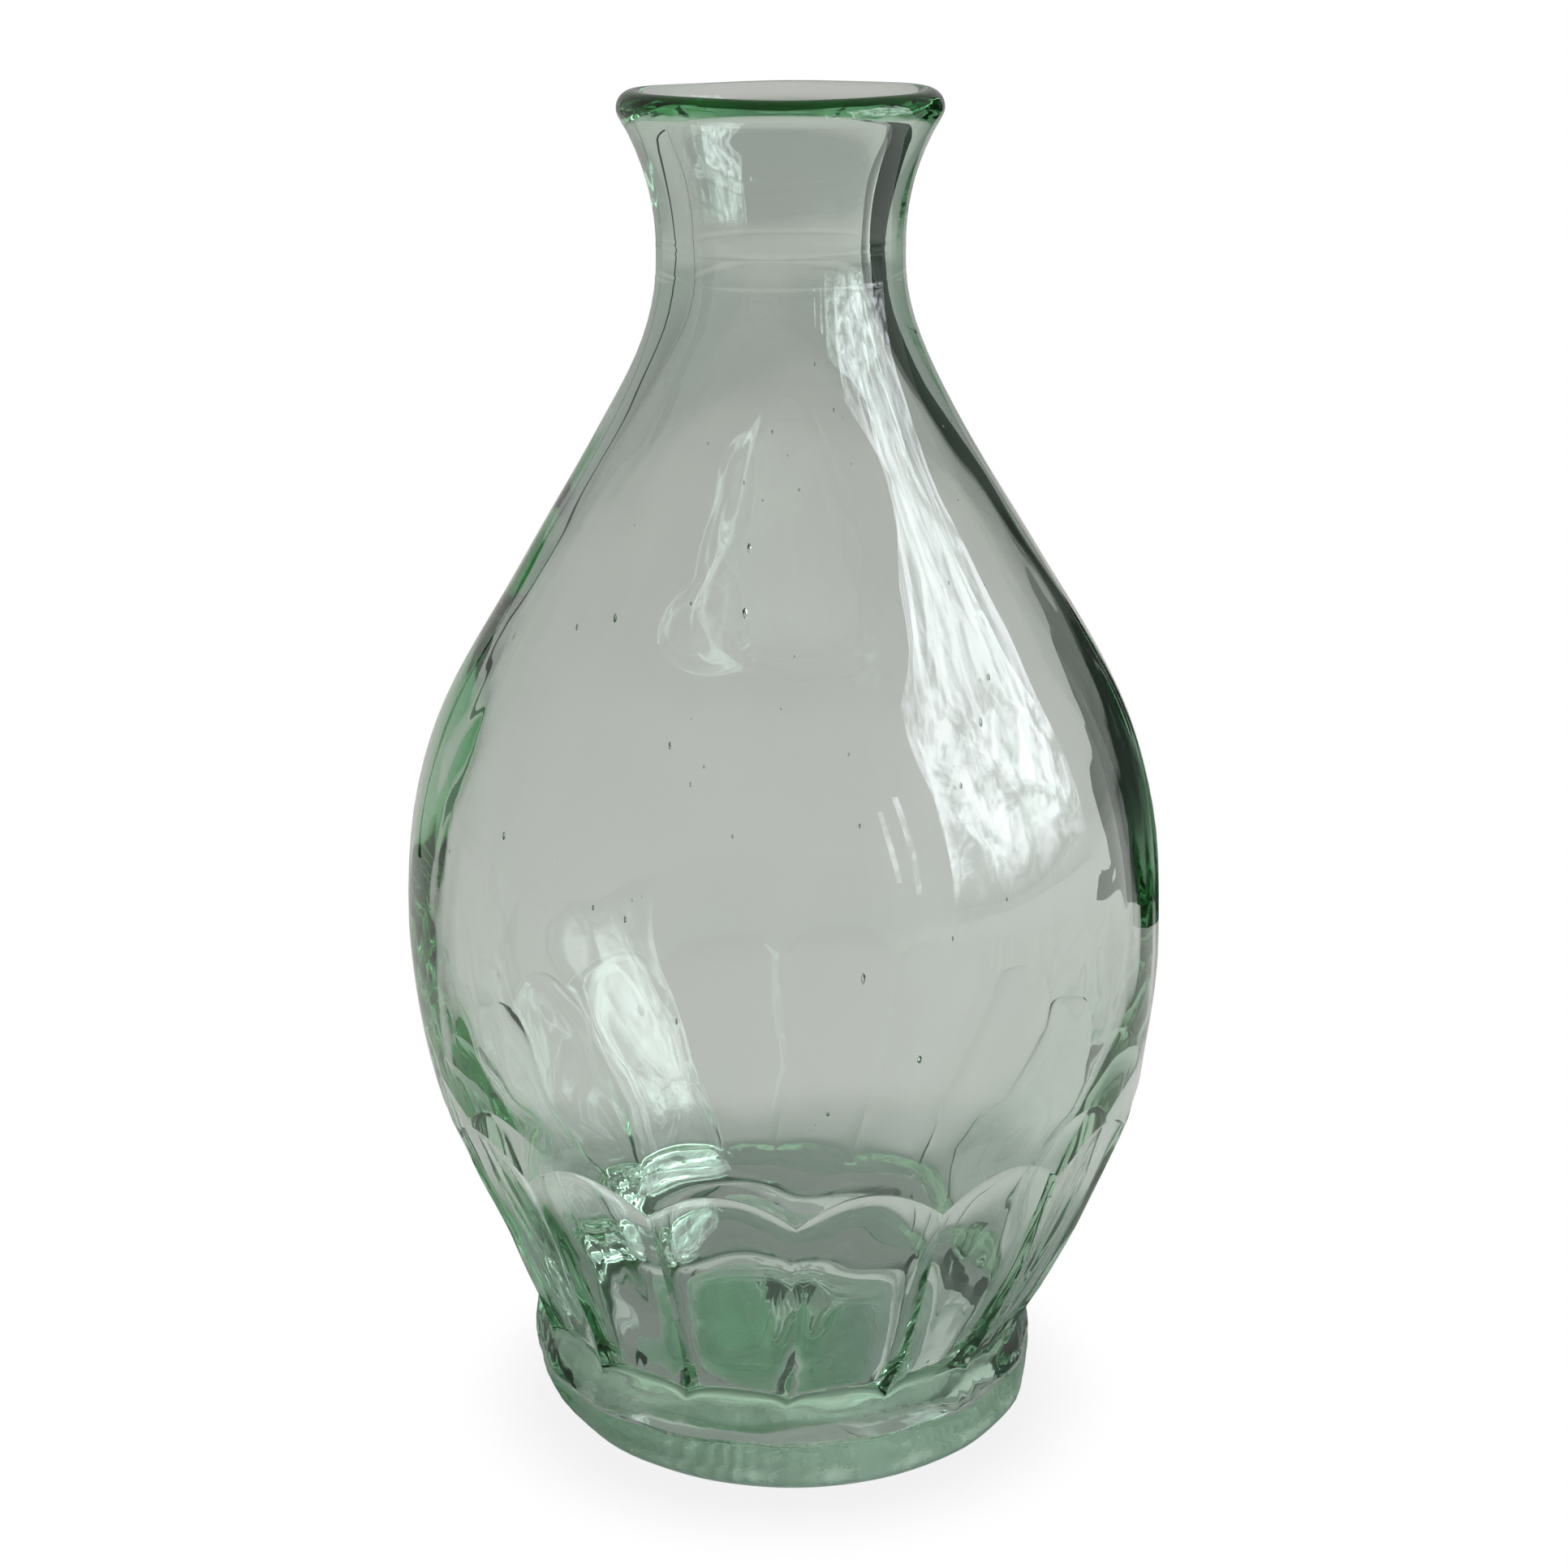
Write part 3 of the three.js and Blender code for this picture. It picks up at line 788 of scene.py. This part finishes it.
def floor_paper_painted_light_and_shade():
    """White paper. The camera sees it bleached out, and the glass shows it in the room's own grey.

    Under the vase's middle a pool of light is painted on it, as if lit through the glass, and round the
    foot a shade is painted, as if in the vase's shadow. The camera sees a painted soft shadow round the
    foot as well. Far off it fades into the room, so no edge of it shows through the glass.
    """
    material, tree = new_tree("floor_paper_painted_light_and_shade")
    path = add_node(tree, "ShaderNodeLightPath")
    where = add_node(tree, "ShaderNodeTexCoord")
    away = add_node(
        tree, "ShaderNodeVectorMath", {"operation": "LENGTH"}, {"Vector": where.outputs["Object"]}
    )
    shades = {}
    for name, (near, far, near_value, far_value) in PAPER_SHADES.items():
        shade = add_node(
            tree,
            "ShaderNodeMapRange",
            {
                "interpolation_type": "SMOOTHSTEP",
                "From Min": near,
                "From Max": far,
                "To Min": near_value,
                "To Max": far_value,
            },
            {"Value": away.outputs["Value"]},
        )
        shades[name] = shade.outputs["Result"]
    # Painted shade round the foot, fading out into the paper's own grey further off
    shaded = add_node(
        tree,
        "ShaderNodeMix",
        {"data_type": "RGBA", COLOUR_A: linear("#878E88"), COLOUR_B: linear("#D2CDCC")},
        {"Factor": shades["off_painted_shade"]},
    )
    # A painted pool of light under the vase's middle, as if lit through the glass
    colour = add_node(
        tree,
        "ShaderNodeMix",
        {"data_type": "RGBA", COLOUR_A: linear("#F4F6F0")},
        {"Factor": shades["off_painted_light"], COLOUR_B: shaded.outputs[MIXED_COLOUR]},
    )
    paper = add_node(tree, "ShaderNodeBsdfDiffuse", {}, {"Color": colour.outputs[MIXED_COLOUR]})
    clear = add_node(tree, "ShaderNodeBsdfTransparent")
    faded = add_node(
        tree,
        "ShaderNodeMixShader",
        links={"Fac": shades["clear"], SHADER_A: paper.outputs["BSDF"], SHADER_B: clear.outputs["BSDF"]},
    )
    # To the camera the paper is a white glow, with a painted soft shadow round the foot
    bleach = add_node(
        tree, "ShaderNodeEmission", {"Color": linear("#FFFFFF")}, {"Strength": shades["shadow"]}
    )
    both = add_node(
        tree,
        "ShaderNodeMixShader",
        links={
            "Fac": path.outputs["Is Camera Ray"],
            SHADER_A: faded.outputs["Shader"],
            SHADER_B: bleach.outputs["Emission"],
        },
    )
    add_node(tree, "ShaderNodeOutputMaterial", links={"Surface": both.outputs["Shader"]})
    return material


def diffuser_cloth():
    """A lit diffuser, brighter in soft patches where its folds of about 160 mm overlap less.

    Its hem and its lower corner away from the camera are folded over, and dimmer.
    """
    material, tree = new_tree("diffuser_cloth")
    where = add_node(tree, "ShaderNodeTexCoord")
    folds = add_node(
        tree,
        "ShaderNodeTexNoise",
        {"Scale": 1 / (160 * MM), "Detail": 5.0, "Roughness": 0.65, "Distortion": 0.8},
        {"Vector": where.outputs["Object"]},
    )
    brightness = add_node(
        tree,
        "ShaderNodeMapRange",
        {"From Min": 0.42, "From Max": 0.6, "To Min": 1.3, "To Max": 7.5},
        {"Value": folds.outputs["Fac"]},
    )
    place = add_node(tree, "ShaderNodeSeparateXYZ", {}, {"Vector": where.outputs["Object"]})
    hem = add_node(
        tree,
        "ShaderNodeMapRange",
        {"interpolation_type": "SMOOTHSTEP", "From Min": 0.0, "From Max": 0.3},
        {"Value": place.outputs["Z"]},
    )
    above_fold = add_node(
        tree,
        "ShaderNodeMath",
        {"operation": "MULTIPLY_ADD", VALUE_B: -0.9},
        {VALUE_A: place.outputs["Y"], VALUE_C: place.outputs["Z"]},
    )
    corner = add_node(
        tree,
        "ShaderNodeMapRange",
        {"interpolation_type": "SMOOTHSTEP", "From Min": -0.28, "From Max": 0.08, "To Min": 0.25},
        {"Value": above_fold.outputs["Value"]},
    )
    strength = brightness.outputs["Result"]
    for fade in (hem, corner):
        dimmed = add_node(
            tree,
            "ShaderNodeMath",
            {"operation": "MULTIPLY"},
            {VALUE_A: strength, VALUE_B: fade.outputs["Result"]},
        )
        strength = dimmed.outputs["Value"]
    glow = add_node(tree, "ShaderNodeEmission", {"Color": linear("#F4F9FF")}, {"Strength": strength})
    add_node(tree, "ShaderNodeOutputMaterial", links={"Surface": glow.outputs["Emission"]})
    return material


def black_felt_glow():
    """Felt of the flags, which give glass its dark edge lines. Its dark is painted: an even glow of its own
    from any side, which no lamp lights.
    """
    material, tree = new_tree("black_felt_glow")
    felt = add_node(tree, "ShaderNodeEmission", {"Color": linear("#272D29")})
    add_node(tree, "ShaderNodeOutputMaterial", links={"Surface": felt.outputs["Emission"]})
    return material


def upright(around, away, width, low, high):
    """Corners of a card that faces the vase, at degrees round it from the camera's side."""
    turn = Matrix.Rotation(math.radians(around), 3, "Z")
    ends = [(-width / 2, low), (width / 2, low), (width / 2, high), (-width / 2, high)]
    return [turn @ Vector((x, -away, z)) for x, z in ends]


def card(context, name, corners, material, seen_by=("glossy", "transmission")):
    """A thin flat card of the studio, which only some kinds of ray see."""
    bm = bmesh.new()
    bm.faces.new([bm.verts.new(corner) for corner in corners])
    mesh = bpy.data.meshes.new(name)
    bm.to_mesh(mesh)
    bm.free()
    thing = bpy.data.objects.new(name, mesh)
    context.collection.objects.link(thing)
    mesh.materials.append(material)
    for ray in ("camera", "diffuse", "glossy", "transmission", "shadow"):
        setattr(thing, "visible_" + ray, ray in seen_by)


def add_camera(context, stage):
    camera = bpy.data.objects.new("camera", bpy.data.cameras.new("camera"))
    context.collection.objects.link(camera)
    camera.data.lens = stage.lens
    camera.data.sensor_width = stage.sensor
    camera.matrix_world = (
        Matrix.Rotation(stage.camera_turn, 4, "Z")
        @ Matrix.Translation((0, -stage.camera_distance, stage.camera_height))
        @ Matrix.Rotation(math.pi / 2 - stage.camera_pitch, 4, "X")
        @ Matrix.Rotation(-stage.camera_roll, 4, "Z")
    )
    context.scene.camera = camera


def add_floor(context):
    floor_mesh = bpy.data.meshes.new("floor")
    bm = bmesh.new()
    bmesh.ops.create_grid(bm, x_segments=1, y_segments=1, size=FLOOR_HALF_WIDTH)
    bm.to_mesh(floor_mesh)
    bm.free()
    floor = bpy.data.objects.new("floor", floor_mesh)
    context.collection.objects.link(floor)
    floor_mesh.materials.append(floor_paper_painted_light_and_shade())


def add_cards(context):
    """The diffuser, two narrow gaps in the curtain beside it and the two flags."""
    cloth = diffuser_cloth()
    diffuser = upright(away=CURTAIN_DISTANCE, **DIFFUSER)
    card(context, "diffuser", diffuser, cloth, EVERY_RAY_BUT_CAMERA)
    for gap in CURTAIN_GAPS:
        corners = upright(away=CURTAIN_DISTANCE, **gap)
        card(context, "curtain_gap", corners, cloth, ("glossy",))
    felt = black_felt_glow()
    card(context, "right_flag", RIGHT_FLAG, felt)
    card(context, "left_flag", LEFT_FLAG, felt)


def add_overhead(context):
    """A soft light over the vase, which isn't seen in the glass."""
    overhead = bpy.data.objects.new("overhead", bpy.data.lights.new("overhead", "AREA"))
    context.collection.objects.link(overhead)
    overhead.data.size = 5
    overhead.data.energy = 90
    overhead.location = (0, 1.0, 3.5)
    overhead.visible_glossy = overhead.visible_transmission = False


def add_room(context):
    """A grey room round the vase, darker upwards. The camera sees it bleached out, like the floor."""
    world = bpy.data.worlds.new("studio")
    context.scene.world = world
    world.use_nodes = True
    tree = world.node_tree
    tree.nodes.clear()
    where = add_node(tree, "ShaderNodeTexCoord")
    split = add_node(tree, "ShaderNodeSeparateXYZ", {}, {"Vector": where.outputs["Generated"]})
    strength = add_node(
        tree,
        "ShaderNodeMapRange",
        {
            "interpolation_type": "SMOOTHSTEP",
            "From Min": 0.0,
            "From Max": 0.5,
            "To Min": 1.35,
            "To Max": 0.9,
        },
        {"Value": split.outputs["Z"]},
    )
    grey = add_node(
        tree,
        "ShaderNodeBackground",
        {"Color": linear("#8F8E8E")},
        {"Strength": strength.outputs["Result"]},
    )
    white = add_node(tree, "ShaderNodeBackground", {"Color": linear("#FFFFFF")})
    path = add_node(tree, "ShaderNodeLightPath")
    seen = add_node(
        tree,
        "ShaderNodeMixShader",
        links={
            "Fac": path.outputs["Is Camera Ray"],
            SHADER_A: grey.outputs["Background"],
            SHADER_B: white.outputs["Background"],
        },
    )
    add_node(tree, "ShaderNodeOutputWorld", links={"Surface": seen.outputs["Shader"]})


class VASE_OT_stage(bpy.types.Operator):
    """Set up the floor, the lights and the camera"""

    bl_idname = "vase.stage"
    bl_label = "Stage"
    bl_options = {"REGISTER", "UNDO"}

    def execute(self, context):
        add_camera(context, context.scene.vase_stage)
        add_floor(context)
        add_cards(context)
        add_overhead(context)
        add_room(context)
        context.scene.view_settings.view_transform = "Standard"
        for kind in ("max_bounces", "transmission_bounces", "glossy_bounces"):
            setattr(context.scene.cycles, kind, BOUNCES)
        return {"FINISHED"}


class VASE_PT_sidebar(bpy.types.Panel):
    bl_idname = "VASE_PT_sidebar"
    bl_label = "Ovoid glass vase"
    bl_space_type = "VIEW_3D"
    bl_region_type = "UI"
    bl_category = "Vase"

    def draw(self, context):
        for operator in OPERATORS:
            self.layout.operator(operator.bl_idname)
        for name, group in GROUPS.items():
            box = self.layout.box()
            for prop in group.__annotations__:
                box.prop(getattr(context.scene, name), prop)


OPERATORS = (VASE_OT_glass, VASE_OT_stage)
GROUPS = {"vase_form": VaseForm, "vase_glass": VaseGlass, "vase_stage": VaseStage}


def register():
    for cls in (*GROUPS.values(), *OPERATORS, VASE_PT_sidebar):
        bpy.utils.register_class(cls)
    for name, group in GROUPS.items():
        setattr(bpy.types.Scene, name, bpy.props.PointerProperty(type=group))


def unregister():
    for name in GROUPS:
        delattr(bpy.types.Scene, name)
    for cls in reversed((*GROUPS.values(), *OPERATORS, VASE_PT_sidebar)):
        bpy.utils.unregister_class(cls)


def main():
    register()
    bpy.ops.vase.glass()
    bpy.ops.vase.stage()


if __name__ == "__main__":
    main()
